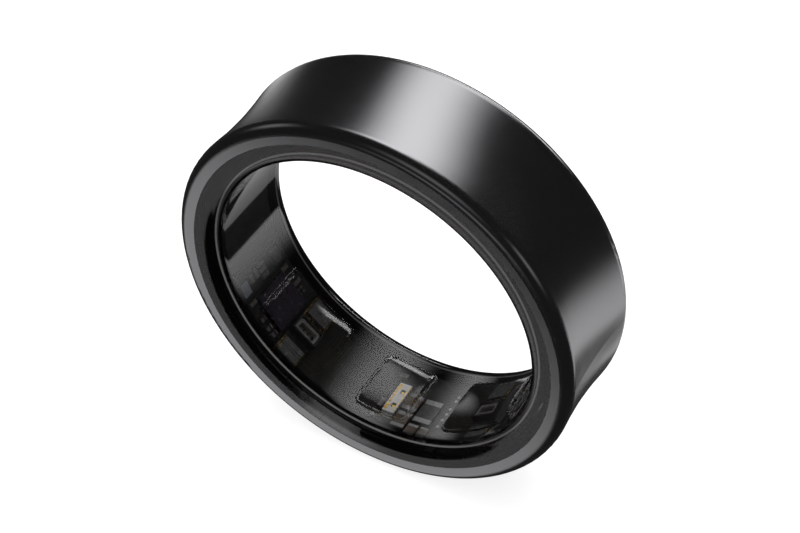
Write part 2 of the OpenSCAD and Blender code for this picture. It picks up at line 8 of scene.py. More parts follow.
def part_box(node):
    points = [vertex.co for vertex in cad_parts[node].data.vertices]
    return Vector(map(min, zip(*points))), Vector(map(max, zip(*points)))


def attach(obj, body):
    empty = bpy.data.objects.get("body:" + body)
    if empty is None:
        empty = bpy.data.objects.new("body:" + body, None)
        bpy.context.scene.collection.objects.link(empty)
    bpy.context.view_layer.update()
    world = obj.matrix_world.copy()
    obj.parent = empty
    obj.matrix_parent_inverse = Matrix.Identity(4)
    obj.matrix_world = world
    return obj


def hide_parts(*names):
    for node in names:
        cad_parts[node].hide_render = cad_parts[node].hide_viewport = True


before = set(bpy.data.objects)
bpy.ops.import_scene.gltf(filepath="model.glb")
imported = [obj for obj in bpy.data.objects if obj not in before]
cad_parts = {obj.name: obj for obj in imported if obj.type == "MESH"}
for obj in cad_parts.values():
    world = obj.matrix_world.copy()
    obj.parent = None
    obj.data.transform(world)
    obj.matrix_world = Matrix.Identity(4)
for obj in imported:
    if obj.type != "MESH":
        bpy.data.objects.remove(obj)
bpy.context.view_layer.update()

# Sizes are real ones, in metres. Angles round the ring start from straight down, towards +X.
MM = 0.001
NEAR = 1e-7
MERGE = 0.5e-6

# Resin lining, in the band's channel and over its two flanges
shell_low, shell_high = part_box("outer_shell")
CENTRE = Vector((0, 0, (shell_low.z + shell_high.z) / 2))
HALF_W = shell_high.y
CHANNEL_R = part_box("resin_liner")[1].x
CHANNEL_HALF = 3.0 * MM
FLANGE_R = 10.915 * MM
BORE_R = 9.525 * MM
RIM_ROUND = 0.97 * MM
RIM_FULLNESS = 0.6
RIM_DIP = 0.03 * MM
LINING_STEPS = 360

# Sensor windows, in sizes on the bore
SIDE_WINDOW_W = 5.33 * MM
CENTRE_WINDOW_W = 3.4 * MM
SIDE_WINDOW_ANGLE = math.radians(40.2)
WINDOWS_TURN = math.radians(-1.1)
WINDOW_HALF_L = 2.075 * MM
WINDOW_ROUND = 0.45 * MM
WINDOW_SUNK = 0.2 * MM
WINDOW_STEP = 0.15 * MM
WINDOW_STEP_H = 0.09 * MM
WINDOW_STEP_ROUND = 0.07 * MM
WINDOW_WALL_TOP = 0.12 * MM
WINDOW_EDGE_ROUND = 0.02 * MM

# A window's top rises to its crown, which lies past the middle, and falls to its ends in a short reach
CROWN_H = 0.24 * MM
CROWN_PLACE = 0.35 * MM
END_REACH = 0.16 * MM
END_CUTS = (0.1, 0.25, 0.45, 0.7, 1)
CUTS_ROUND_BORE = 24
CUTS_ALONG_FINGER = 40

# Pale lines inside the resin near both rims, which glow a little: painted highlights
RIM_LINE_R = 9.92 * MM
RIM_LINE_PLACE = 2.86 * MM
RIM_LINE_THICKNESS = 0.05 * MM
RIM_LINE_SIDES = 10
RIM_LINE_STEPS = 240

# Emitter block, in millimetres along the board and along the finger
block_low, block_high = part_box("emitter_block")
EMITTER_MIDDLE = (block_low.x + block_high.x) / 2 / (CENTRE.z - block_high.z) * CHANNEL_R / MM
LAND_START = 0.42
LAND_PITCH = 0.24
SOCKET_HALF = 0.15

# Pitches of the board's tracks and of the coil's wires, in millimetres
TRACK_PITCH = 0.19
WIRE_PITCH = 0.11

# Resin: its rims darken and then turn partly clear between these places, in millimetres from the middle
RESIN_IOR = 1.36
RESIN_DENSITY = 450.0
RIM_TINT_PLACES = (2.4, 2.62)
RIM_CLEAR_PLACES = (2.88, 3.05)
RIM_CLEAR_SHARE = 0.35

CHIP_EDGE_ROUND = 0.02 * MM
CHIP_EDGE_ANGLE = math.radians(40)


# Modelling helpers

def nothing_selected():
    bpy.ops.object.select_all(action="DESELECT")


def take(piece):
    nothing_selected()
    piece.select_set(True)
    bpy.context.view_layer.objects.active = piece


def apply_place(piece):
    take(piece)
    bpy.ops.object.transform_apply(location=True, rotation=True, scale=True)


def join_on(piece, part):
    """Joins a part onto a piece as one closed skin."""
    take(piece)
    modifier = piece.modifiers.new("join", "BOOLEAN")
    modifier.operation = "UNION"
    modifier.solver = "EXACT"
    modifier.object = part
    bpy.ops.object.modifier_apply(modifier=modifier.name)
    bpy.data.objects.remove(part)


def new_block(name, size, middle):
    nothing_selected()
    bpy.ops.mesh.primitive_cube_add(size=1, location=middle)
    piece = bpy.context.object
    piece.name = piece.data.name = name
    piece.scale = size
    apply_place(piece)
    return piece


def pick(piece, part, test):
    """Selects the faces, edges or verts of a piece in edit mode whose middle passes the test."""
    bpy.ops.mesh.select_mode(type=part)
    bpy.ops.mesh.select_all(action="DESELECT")
    mesh = bmesh.from_edit_mesh(piece.data)
    kinds = {"FACE": mesh.faces, "EDGE": mesh.edges, "VERT": mesh.verts}
    for item in kinds[part]:
        corners = item.verts if part != "VERT" else [item]
        middle = sum((v.co for v in corners), Vector()) / len(corners)
        if test(middle, item):
            item.select_set(True)
    mesh.select_flush_mode()
    bmesh.update_edit_mesh(piece.data)


def extrude_up(height):
    bpy.ops.mesh.extrude_region_move(TRANSFORM_OT_translate={"value": (0, 0, height)})


def cut_planes(places, normal):
    for place in places:
        bpy.ops.mesh.select_all(action="SELECT")
        bpy.ops.mesh.bisect(plane_co=place, plane_no=normal, clear_inner=False, clear_outer=False)


def spin_round_finger(count):
    """Spins the whole outline once round the finger's axis and closes its seam."""
    bpy.ops.mesh.select_all(action="SELECT")
    bpy.ops.mesh.spin(steps=count, angle=math.tau, center=CENTRE, axis=(0, 1, 0))
    bpy.ops.mesh.select_all(action="SELECT")
    bpy.ops.mesh.remove_doubles(threshold=MERGE)
    bpy.ops.mesh.normals_make_consistent(inside=False)


def smooth(piece, degrees):
    take(piece)
    bpy.ops.object.shade_smooth_by_angle(angle=math.radians(degrees))


def steps(low, high, count):
    """The places between two ends that divide the way into equal steps."""
    return [low + (high - low) * i / count for i in range(1, count)]


# Resin lining

def lining_ring():
    """The lining's outline, rounded at the bore, spun round the finger. Its flat rims dip a little."""
    low = CENTRE.z - FLANGE_R
    high = CENTRE.z - BORE_R
    middle = (low + high) / 2
    ring = new_block("resin_lining", (MM, 2 * HALF_W, high - low), (0, 0, middle))
    bpy.ops.object.mode_set(mode="EDIT")
    pick(ring, "FACE", lambda at, face: face.normal.x < 0.5)
    bpy.ops.mesh.delete(type="FACE")
    bpy.ops.mesh.select_all(action="SELECT")
    bpy.ops.transform.translate(value=(-MM / 2, 0, 0))
    pick(ring, "VERT", lambda at, vert: at.z > middle)
    bpy.ops.mesh.bevel(offset=RIM_ROUND, segments=20, affect="VERTICES", profile=RIM_FULLNESS)
    cut_planes([(0, side * CHANNEL_HALF, 0) for side in (-1, 1)], (0, 1, 0))
    pick(ring, "EDGE", lambda at, edge: at.z < low + NEAR and abs(at.y) < NEAR)
    extrude_up(FLANGE_R - CHANNEL_R)
    bpy.ops.mesh.select_mode(type="FACE")
    bpy.ops.mesh.select_all(action="SELECT")
    bpy.ops.mesh.dissolve_faces()
    bpy.ops.mesh.select_all(action="SELECT")
    bpy.ops.mesh.delete(type="ONLY_FACE")
    bpy.ops.mesh.select_mode(type="VERT")
    spin_round_finger(LINING_STEPS)
    bpy.ops.object.mode_set(mode="OBJECT")
    for vert in ring.data.vertices:
        r = math.hypot(vert.co.x, vert.co.z - CENTRE.z)
        share = (FLANGE_R - r) / (FLANGE_R - BORE_R)
        if 0 < share < 1 and abs(vert.co.y) > CHANNEL_HALF:
            vert.co.y -= math.copysign(RIM_DIP * min(share, 1 - share) * 2, vert.co.y)
    return ring


def top_rise(x, y, half_w, half_l):
    """How far a window's top rises over its wall at a place: the crown, rounded down at the edges."""
    corner = WINDOW_ROUND - WINDOW_STEP
    from_end, from_side = half_w - abs(x), half_l - abs(y)
    inside = min(from_end, from_side)
    if from_end < corner and from_side < corner:
        inside = corner - math.hypot(corner - from_end, corner - from_side)
    share = min(max(inside - WINDOW_EDGE_ROUND, 0) / END_REACH, 1)
    edge_rise = CROWN_H * math.sqrt(1 - (1 - share) ** 2)
    from_crown = y - CROWN_PLACE
    reach = half_l - math.copysign(CROWN_PLACE, from_crown)
    return min(CROWN_H * (1 - (from_crown / reach) ** 2), edge_rise)


def is_outer_step_edge(at, edge):
    """Tells the low step's outer edge, which has the pad's outer wall below it."""
    below = [face for face in edge.link_faces if face.calc_center_median().z < WINDOW_STEP_H]
    return abs(at.z - WINDOW_STEP_H) < NEAR and any(face.normal.z < 0.5 for face in below)


def window_pad(name, width):
    """One raised window, laid flat: a low step, then a wall, and a top that crowns along the finger."""
    middle = (WINDOW_STEP_H - WINDOW_SUNK) / 2
    pad = new_block(name, (width, 2 * WINDOW_HALF_L, WINDOW_STEP_H + WINDOW_SUNK), (0, 0, middle))
    bpy.ops.object.mode_set(mode="EDIT")
    pick(pad, "EDGE", lambda at, edge: abs(at.z - middle) < NEAR)
    bpy.ops.mesh.bevel(offset=WINDOW_ROUND, segments=8, affect="EDGES")
    pick(pad, "FACE", lambda at, face: face.normal.z > 0.9)
    bpy.ops.mesh.inset(thickness=WINDOW_STEP)
    extrude_up(WINDOW_WALL_TOP - WINDOW_STEP_H)
    pick(pad, "EDGE", is_outer_step_edge)
    bpy.ops.mesh.bevel(offset=WINDOW_STEP_ROUND, segments=4, affect="EDGES")
    pick(pad, "EDGE", lambda at, edge: at.z > WINDOW_WALL_TOP - NEAR)
    bpy.ops.mesh.bevel(offset=WINDOW_EDGE_ROUND, segments=3, affect="EDGES")
    half_w = width / 2 - WINDOW_STEP
    half_l = WINDOW_HALF_L - WINDOW_STEP
    from_ends = [WINDOW_EDGE_ROUND + END_REACH * share for share in END_CUTS]
    flat_half = half_w - from_ends[-1]
    cuts_x = [side * (half_w - d) for d in from_ends for side in (-1, 1)]
    cuts_x += steps(-flat_half, flat_half, CUTS_ROUND_BORE)
    cut_planes([(x, 0, 0) for x in cuts_x], (1, 0, 0))
    cut_planes([(0, y, 0) for y in steps(-half_l, half_l, CUTS_ALONG_FINGER)], (0, 1, 0))
    bpy.ops.object.mode_set(mode="OBJECT")
    for vert in pad.data.vertices:
        if vert.co.z > WINDOW_WALL_TOP - NEAR:
            vert.co.z += top_rise(vert.co.x, vert.co.y, half_w, half_l)
    return pad


def wrap_on_bore(piece, angle):
    """Rolls a piece that was laid flat onto the bore, with its middle at an angle."""
    for vert in piece.data.vertices:
        turned = vert.co.x / BORE_R + angle
        r = BORE_R - vert.co.z
        vert.co = Vector((r * math.sin(turned), vert.co.y, CENTRE.z - r * math.cos(turned)))


def resin_lining():
    """The lining with its three windows, as one closed skin."""
    ring = lining_ring()
    for name, angle, width in (
        ("left_window", -SIDE_WINDOW_ANGLE, SIDE_WINDOW_W),
        ("centre_window", 0, CENTRE_WINDOW_W),
        ("right_window", SIDE_WINDOW_ANGLE, SIDE_WINDOW_W),
    ):
        pad = window_pad(name, width)
        wrap_on_bore(pad, angle + WINDOWS_TURN)
        join_on(ring, pad)
    smooth(ring, 30)
    return ring


def glowing_rim_line(name, side):
    """A thin pale line inside the resin near a rim; its finish glows a little, a painted highlight."""
    nothing_selected()
    bpy.ops.mesh.primitive_circle_add(
        vertices=RIM_LINE_SIDES, radius=RIM_LINE_THICKNESS, rotation=(0, math.pi / 2, 0),
        location=(0, side * RIM_LINE_PLACE, CENTRE.z - RIM_LINE_R),
    )
    line = bpy.context.object
    line.name = line.data.name = name
    apply_place(line)
    bpy.ops.object.mode_set(mode="EDIT")
    spin_round_finger(RIM_LINE_STEPS)
    bpy.ops.object.mode_set(mode="OBJECT")
    smooth(line, 60)
    return line


# Shader helpers

def set_inputs(tree, node, inputs):
    """Sets a node's inputs. Each is a value, or another node's output."""
    for name, value in dict(inputs).items():
        if isinstance(value, bpy.types.NodeSocket):
            tree.links.new(value, node.inputs[name])
        else:
            node.inputs[name].default_value = value


def add_node(tree, kind, inputs=(), **settings):
    made = tree.nodes.new("ShaderNode" + kind)
    for name, value in settings.items():
        setattr(made, name, value)
    set_inputs(tree, made, inputs)
    return made


def use_group(tree, group, inputs=()):
    return add_node(tree, "Group", inputs, node_tree=group).outputs


def maths(tree, operation, *values):
    return add_node(tree, "Math", dict(enumerate(values)), operation=operation).outputs[0]


def times(tree, first, second):
    return maths(tree, "MULTIPLY", first, second)


def plus(tree, first, second):
    return maths(tree, "ADD", first, second)


def less(tree, first, second):
    return maths(tree, "SUBTRACT", first, second)


def size_of(tree, value):
    return maths(tree, "ABSOLUTE", value)


def blend_colours(tree, share, first, second):
    return add_node(tree, "Mix", {0: share, 6: first, 7: second}, data_type="RGBA").outputs[2]


def spread(tree, value, low, high, to_low=0.0, to_high=1.0, way="LINEAR"):
    """Carries a value from one range to another, and holds it inside that range."""
    inputs = {"Value": value, "From Min": low, "From Max": high, "To Min": to_low, "To Max": to_high}
    return add_node(tree, "MapRange", inputs, interpolation_type=way).outputs[0]


def noise(tree, place, scale, detail, **more):
    inputs = {"Vector": place, "Scale": scale, "Detail": detail, **more}
    return add_node(tree, "TexNoise", inputs).outputs[0]


def relief(tree, height, depth, strength):
    """A normal from a height. The depth is in millimetres."""
    inputs = {"Height": height, "Distance": depth * MM, "Strength": strength}
    return add_node(tree, "Bump", inputs).outputs[0]


def object_place(tree):
    return add_node(tree, "TexCoord").outputs["Object"]


def new_group(name, inputs, outputs):
    """A node group with number inputs, and with outputs that are numbers or one called Vector."""
    group = bpy.data.node_groups.new(name, "ShaderNodeTree")
    add_socket = group.interface.new_socket
    for label, start in inputs.items():
        add_socket(name=label, in_out="INPUT", socket_type="NodeSocketFloat").default_value = start
    for label in outputs:
        kind = "NodeSocketVector" if label == "Vector" else "NodeSocketFloat"
        add_socket(name=label, in_out="OUTPUT", socket_type=kind)
    return group, group.nodes.new("NodeGroupInput").outputs, group.nodes.new("NodeGroupOutput").inputs


def round_the_ring():
    """Places on the ring in millimetres: along the board, along the finger, and out from the axis."""
    group, _, put = new_group("round_the_ring", {}, ["Vector"])
    x, y, z = add_node(group, "SeparateXYZ", {0: object_place(group)}).outputs
    down = less(group, CENTRE.z, z)
    angle = maths(group, "ARCTAN2", x, down)
    r = maths(group, "SQRT", plus(group, times(group, x, x), times(group, down, down)))
    place = add_node(group, "CombineXYZ", {
        "X": times(group, angle, CHANNEL_R / MM),
        "Y": maths(group, "DIVIDE", y, -MM),
        "Z": maths(group, "DIVIDE", r, MM),
    })
    group.links.new(place.outputs[0], put["Vector"])
    return group


def fine_grain():
    """Fine surface grain, with a slow mottle. The sizes are the grains in a millimetre."""
    group, given, put = new_group("fine_grain", {"Size": 30.0, "Mottle Size": 3.0}, ["Height", "Mottle"])
    scaled = add_node(group, "VectorMath", {0: object_place(group), "Scale": 1 / MM}, operation="SCALE")
    per_mm = scaled.outputs["Vector"]
    group.links.new(noise(group, per_mm, given["Size"], 4.0), put["Height"])
    group.links.new(noise(group, per_mm, given["Mottle Size"], 3.0), put["Mottle"])
    return group


def edge_wear():
    """A mask for worn edges, from how far a rounded normal leans from the surface's own."""
    group, given, put = new_group("edge_wear", {"Width": 0.05, "Amount": 1.0}, ["Mask"])
    rounded = add_node(group, "Bevel", {"Radius": times(group, given["Width"], MM)}, samples=6).outputs[0]
    own = add_node(group, "NewGeometry").outputs["Normal"]
    lean = add_node(group, "VectorMath", {0: rounded, 1: own}, operation="DOT_PRODUCT").outputs["Value"]
    patches = noise(group, object_place(group), 2.0 / MM, 5.0)
    worn = times(group, spread(group, lean, 0.995, 0.8), spread(group, patches, 0.35, 0.6))
    group.links.new(times(group, worn, given["Amount"]), put["Mask"])
    return group


RING_PLACE = round_the_ring()
GRAIN = fine_grain()
EDGE_WEAR = edge_wear()


def ring_place(tree):
    return use_group(tree, RING_PLACE)["Vector"]


def along_and_across(tree, place):
    """The two parts of a place on the ring: along the board, and along the finger."""
    return add_node(tree, "SeparateXYZ", {0: place}).outputs[:2]


def grain(tree, size, mottle_size):
    return use_group(tree, GRAIN, {"Size": size, "Mottle Size": mottle_size})


def worn_edges(tree, width, amount):
    return use_group(tree, EDGE_WEAR, {"Width": width, "Amount": amount})["Mask"]


def mottled(tree, surface, low, high):
    """A value that follows the slow mottle between two levels."""
    return spread(tree, surface["Mottle"], 0.3, 0.7, low, high)


def new_material(name):
    material = bpy.data.materials.new(name)
    material.use_nodes = True
    tree = material.node_tree
    return material, tree, tree.nodes["Principled BSDF"]


def colour(red, green, blue):
    return (red, green, blue, 1)


def grey(level):
    return colour(level, level, level)


def solid_finish(
    name, dark, light, roughness, metallic=0.0,
    grain_size=30.0, mottle_size=3.0, depth=0.02, wear=None, glow=(),
):
    """A finish between two tones, with fine grain in its height and, if asked, wear along its edges and a
    painted glow.
    """
    material, tree, shader = new_material(name)
    surface = grain(tree, grain_size, mottle_size)
    tone = blend_colours(tree, spread(tree, surface["Mottle"], 0.35, 0.65), dark, light)
    if wear:
        tone = blend_colours(tree, worn_edges(tree, 0.04, 0.7), tone, wear)
    set_inputs(tree, shader, {
        "Base Color": tone, "Metallic": metallic, "Normal": relief(tree, surface["Height"], depth, 0.6),
        "Roughness": mottled(tree, surface, roughness * 0.85, roughness * 1.15), **dict(glow),
    })
    return material


# Finishes

def coated_metal():
    """Black coated metal, blasted fine, with faint turning lines round the ring."""
    material, tree, shader = new_material("coated_metal")
    surface = grain(tree, 34.0, 0.9)
    stretch = (0.12 / MM, 24 / MM, 0.12 / MM)
    stretched = add_node(tree, "Mapping", {"Vector": object_place(tree), "Scale": stretch}).outputs[0]
    turning_lines = noise(tree, stretched, 1.0, 3.0)
    height = plus(tree, surface["Height"], times(tree, turning_lines, 0.8))
    tone = blend_colours(tree, surface["Mottle"], colour(0.152, 0.152, 0.157), colour(0.162, 0.162, 0.167))
    tone = blend_colours(tree, worn_edges(tree, 0.09, 0.12), tone, colour(0.22, 0.22, 0.23))
    set_inputs(tree, shader, {
        "Base Color": tone, "Metallic": 1.0, "Normal": relief(tree, height, 0.0006, 0.4),
        "Roughness": mottled(tree, surface, 0.2, 0.22),
    })
    return material


def smoked_resin():
    """Clear smoky resin, polished, that darkens with depth and is tinted deeper round both rims."""
    material, tree, shader = new_material("smoked_resin")
    surface = grain(tree, 0.5, 2.5)
    _, across = along_and_across(tree, ring_place(tree))
    aside = size_of(tree, across)
    near_rim = spread(tree, aside, *RIM_TINT_PLACES, way="SMOOTHSTEP")
    tint = blend_colours(tree, surface["Mottle"], colour(0.012, 0.012, 0.011), colour(0.02, 0.019, 0.018))
    front_side = less(tree, 1.0, add_node(tree, "NewGeometry").outputs["Backfacing"])
    clear = times(tree, spread(tree, aside, *RIM_CLEAR_PLACES, 0.0, RIM_CLEAR_SHARE), front_side)
    set_inputs(tree, shader, {
        "Base Color": blend_colours(tree, near_rim, grey(1), tint),
        "Roughness": mottled(tree, surface, 0.02, 0.045),
        "Transmission Weight": 1.0, "IOR": RESIN_IOR, "Alpha": less(tree, 1.0, clear),
    })
    smoke = add_node(tree, "VolumeAbsorption", {"Color": colour(0.3, 0.29, 0.26), "Density": RESIN_DENSITY})
    tree.links.new(smoke.outputs[0], tree.nodes["Material Output"].inputs["Volume"])
    return material


def circuit_board(name, mask_dark, mask_light, track):
    """Solder mask over bundles of fine copper tracks, with a few small holes."""
    material, tree, shader = new_material(name)
    place = ring_place(tree)
    surface = grain(tree, 20.0, 1.5)
    along, across = along_and_across(tree, place)
    bundles = add_node(tree, "TexVoronoi", {"Vector": place, "Scale": 0.9, "Randomness": 0.9}, feature="F1")
    pick_way, pick_routed = add_node(tree, "SeparateColor", {0: bundles.outputs["Color"]}).outputs[:2]
    lengthways = maths(tree, "GREATER_THAN", pick_way, 0.5)
    run = add_node(tree, "Mix", {0: lengthways, 2: along, 3: across}, data_type="FLOAT").outputs[0]
    wave = maths(tree, "SINE", times(tree, run, math.tau / TRACK_PITCH))
    routed = maths(tree, "GREATER_THAN", pick_routed, 0.55)
    tracks = times(tree, spread(tree, wave, 0.1, 0.5), routed)
    dots = add_node(tree, "TexVoronoi", {"Vector": place, "Scale": 1.5, "Randomness": 1.0}, feature="F1")
    holes = spread(tree, dots.outputs["Distance"], 0.07, 0.055)
    tone = blend_colours(tree, surface["Mottle"], mask_dark, mask_light)
    tone = blend_colours(tree, times(tree, tracks, 0.6), tone, track)
    tone = blend_colours(tree, holes, tone, colour(0.16, 0.14, 0.1))
    height = plus(tree, times(tree, tracks, 0.5), times(tree, surface["Height"], 0.2))
    set_inputs(tree, shader, {
        "Base Color": tone, "Metallic": times(tree, holes, 0.9), "Normal": relief(tree, height, 0.002, 0.5),
        "Roughness": mottled(tree, surface, 0.5, 0.6),
    })
    return material


def copper_winding():
    """Copper wire laid side by side, under a thin lacquer, with painted shade in the grooves between the
    wires.
    """
    material, tree, shader = new_material("copper")
    _, across = along_and_across(tree, ring_place(tree))
    wires = maths(tree, "SINE", times(tree, across, math.tau / WIRE_PITCH))
    surface = grain(tree, 14.0, 1.0)
    # The dark tone in the grooves between the wires is painted shade.
    tone = blend_colours(
        tree, spread(tree, wires, -1.0, 0.2), colour(0.12, 0.035, 0.012), colour(0.78, 0.33, 0.14),
    )
    height = plus(tree, wires, times(tree, surface["Height"], 0.15))
    set_inputs(tree, shader, {
        "Base Color": tone, "Metallic": 0.9, "Normal": relief(tree, height, 0.02, 0.8), "Coat Weight": 0.4,
        "Roughness": mottled(tree, surface, 0.28, 0.4),
    })
    return material


def battery_foil():
    """Laminated foil pressed over the cell, slightly creased."""
    material, tree, shader = new_material("battery_foil")
    surface = grain(tree, 9.0, 0.7)
    creases = noise(tree, ring_place(tree), 1.4, 6.0, Distortion=0.6)
    tone = blend_colours(tree, creases, colour(0.035, 0.036, 0.038), colour(0.07, 0.072, 0.075))
    height = plus(tree, creases, times(tree, surface["Height"], 0.2))
    set_inputs(tree, shader, {
        "Base Color": tone, "Metallic": 0.6, "Normal": relief(tree, height, 0.05, 0.5),
        "Roughness": mottled(tree, surface, 0.4, 0.5),
    })
    return material


def silicon(name, dark, light, line):
    """Polished silicon with a fine grid of lines."""
    material, tree, shader = new_material(name)
    cells = add_node(tree, "TexBrick", {
        "Vector": ring_place(tree), "Scale": 3.0, "Brick Width": 0.6, "Row Height": 0.3,
        "Mortar Size": 0.02, "Mortar Smooth": 0.2, "Color1": dark, "Color2": light, "Mortar": line,
    }, offset=0.5)
    surface = grain(tree, 20.0, 2.0)
    set_inputs(tree, shader, {
        "Base Color": cells.outputs["Color"], "Metallic": 0.2,
        "Normal": relief(tree, cells.outputs["Fac"], 0.005, 0.4),
        "Roughness": mottled(tree, surface, 0.2, 0.3),
    })
    return material


def loose_middles(node):
    """Middles of a CAD node's separate solids, in millimetres along the board and along the finger."""
    mesh = bmesh.new()
    mesh.from_mesh(node.data)
    bmesh.ops.remove_doubles(mesh, verts=mesh.verts, dist=NEAR)
    left = set(mesh.verts)
    middles = []
    while left:
        found = {left.pop()}
        edge_of = list(found)
        while edge_of:
            for edge in edge_of.pop().link_edges:
                for vert in edge.verts:
                    if vert in left:
                        left.remove(vert)
                        found.add(vert)
                        edge_of.append(vert)
        at = sum((vert.co for vert in found), Vector()) / len(found)
        middles.append((math.atan2(at.x, CENTRE.z - at.z) * CHANNEL_R / MM, -at.y / MM))
    mesh.free()
    return middles


def emitter_body():
    """White ceramic with dark sockets round its dies and gold lands down both long sides."""
    material, tree, shader = new_material("white_ceramic")
    surface = grain(tree, 30.0, 3.0)
    along, across = along_and_across(tree, ring_place(tree))
    sockets = 0.0
    for die_along, die_across in loose_middles(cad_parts["emitter_dies"]):
        off_along = size_of(tree, less(tree, along, die_along))
        off_across = size_of(tree, less(tree, across, die_across))
        inside = maths(tree, "LESS_THAN", maths(tree, "MAXIMUM", off_along, off_across), SOCKET_HALF)
        sockets = maths(tree, "MAXIMUM", sockets, inside)
    pitch = maths(tree, "FRACT", maths(tree, "DIVIDE", across, LAND_PITCH))
    from_middle = size_of(tree, less(tree, along, EMITTER_MIDDLE))
    beside = maths(tree, "GREATER_THAN", from_middle, LAND_START)
    lands = times(tree, maths(tree, "LESS_THAN", pitch, 0.5), beside)
    tone = blend_colours(tree, surface["Mottle"], colour(0.68, 0.68, 0.72), colour(0.82, 0.82, 0.85))
    tone = blend_colours(tree, lands, tone, colour(0.55, 0.36, 0.08))
    tone = blend_colours(tree, sockets, tone, colour(0.012, 0.011, 0.01))
    set_inputs(tree, shader, {
        "Base Color": tone, "Metallic": times(tree, lands, 0.4),
        "Normal": relief(tree, surface["Height"], 0.01, 0.4),
        "Roughness": mottled(tree, surface, 0.38, 0.5),
    })
    return material


FINISHES = {
    "coated_metal": coated_metal(),
    "smoked_resin": smoked_resin(),
    "flex_film": circuit_board(
        "flex_film", colour(0.016, 0.015, 0.014), colour(0.026, 0.024, 0.022), colour(0.05, 0.046, 0.04),
    ),
    "board": circuit_board(
        "board", colour(0.018, 0.02, 0.02), colour(0.028, 0.031, 0.03), colour(0.06, 0.065, 0.06),
    ),
    "violet_die": silicon(
        "violet_die", colour(0.032, 0.024, 0.04), colour(0.045, 0.034, 0.055), colour(0.022, 0.017, 0.028),
    ),
    "moulded_black": solid_finish("moulded_black", grey(0.03), grey(0.045), 0.5, wear=grey(0.12)),
    "metal_can": solid_finish(
        "metal_can", colour(0.5, 0.49, 0.46), colour(0.62, 0.6, 0.56), 0.3, 1.0,
        wear=grey(0.8), depth=0.008,
    ),
    "grey_ceramic": solid_finish(
        "grey_ceramic", colour(0.2, 0.22, 0.28), colour(0.26, 0.28, 0.34), 0.4, wear=grey(0.4),
    ),
    "white_ceramic": emitter_body(),
    "lamp_housing": solid_finish(
        "lamp_housing", colour(0.2, 0.2, 0.195), colour(0.27, 0.27, 0.26), 0.5, wear=grey(0.4),
    ),
    # The dies' glow is painted light: it brightens dies that sit in the shade of the block's recess.
    "lamp_die": solid_finish(
        "lamp_die", colour(0.85, 0.6, 0.08), colour(0.95, 0.75, 0.2), 0.3, depth=0.005,
        glow={"Emission Color": colour(1, 0.62, 0.06), "Emission Strength": 0.35},
    ),
    "barrier_black": solid_finish("barrier_black", grey(0.012), grey(0.02), 0.6, wear=grey(0.05)),
    "photodiode": silicon(
        "photodiode", colour(0.14, 0.14, 0.147), colour(0.18, 0.18, 0.187), colour(0.08, 0.08, 0.087),
    ),
    "gold": solid_finish("gold", colour(0.75, 0.47, 0.12), colour(0.9, 0.62, 0.2), 0.28, 1.0, depth=0.006),
    "copper": copper_winding(),
    "solder": solid_finish(
        "solder", colour(0.2, 0.2, 0.205), grey(0.29), 0.45, 0.6, depth=0.01, mottle_size=6.0,
    ),
    "brown_ceramic": solid_finish(
        "brown_ceramic", colour(0.085, 0.058, 0.042), colour(0.115, 0.08, 0.058), 0.5, wear=grey(0.16),
    ),
    "tan_ceramic": solid_finish(
        "tan_ceramic", colour(0.13, 0.12, 0.105), colour(0.17, 0.155, 0.14), 0.5, wear=grey(0.25),
    ),
    "ferrite": solid_finish("ferrite", grey(0.05), grey(0.08), 0.6, grain_size=12.0, depth=0.03),
    "battery_foil": battery_foil(),
    "tape": solid_finish("tape", grey(0.02), grey(0.03), 0.55, grain_size=16.0),
    "antenna_film": solid_finish(
        "antenna_film", colour(0.018, 0.015, 0.012), colour(0.028, 0.024, 0.018), 0.35,
    ),
}

# Nodes whose finish in the photo isn't that of their slot's name
OTHER_FINISHES = {"test_pads": "solder", "left_lamp_dies": "tan_ceramic", "right_lamp_dies": "tan_ceramic"}


# Pieces

def finish_nodes():
    """Puts each CAD node's own finish on it, by the record's slot of that name."""
    for name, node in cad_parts.items():
        for held in node.material_slots:
            slot = held.material.name.split(".")[0]
            held.material = FINISHES[OTHER_FINISHES.get(name, slot)]


def soften_edges(node, width):
    """Gives a CAD node's hard edges a small round."""
    node.modifiers.new("weld", "WELD").merge_threshold = NEAR
    bevel = node.modifiers.new("round", "BEVEL")
    bevel.width = width
    bevel.segments = 2
    bevel.limit_method = "ANGLE"
    bevel.angle_limit = CHIP_EDGE_ANGLE
    node.modifiers.new("even", "WEIGHTED_NORMAL").keep_sharp = True


finish_nodes()
for name in (
    "processor_chip", "power_chip", "radio_filter", "motion_sensor", "memory_chip", "charge_chip",
    "emitter_block", "large_capacitors", "large_capacitor_ends", "power_inductor", "inductor_ends",
    "small_capacitors", "small_capacitor_ends", "left_photodiodes", "right_photodiodes",
):
    soften_edges(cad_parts[name], CHIP_EDGE_ROUND)

lining = resin_lining()
lining.data.materials.clear()
lining.data.materials.append(FINISHES["smoked_resin"])
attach(lining, "root")
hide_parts("resin_liner")

# The lines' finish glows a little: a painted highlight, not a lamp.
painted_glow_line = solid_finish(
    "painted_glow_line", grey(0.8), grey(0.9), 0.5, depth=0.002,
    glow={"Emission Color": grey(1), "Emission Strength": 0.22},
)
for name, side in (("near_glowing_line", -1), ("far_glowing_line", 1)):
    line = glowing_rim_line(name, side)
    line.data.materials.append(painted_glow_line)
    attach(line, "root")


# Studio

CAMERA_LENS = 94.81
CAMERA_SENSOR = 36.0
CAMERA_FROM_CENTRE = Vector((39.99, -69.20, 80.43)) * MM
CAMERA_AZIMUTH = 30
CAMERA_ELEVATION = 45

# Light levels: the room in reflections, the room on bare surfaces, and the room on parts in the resin
ROOM_LEVEL = 0.045
AMBIENT = 0.35
PARTS_LEVEL = 1.0

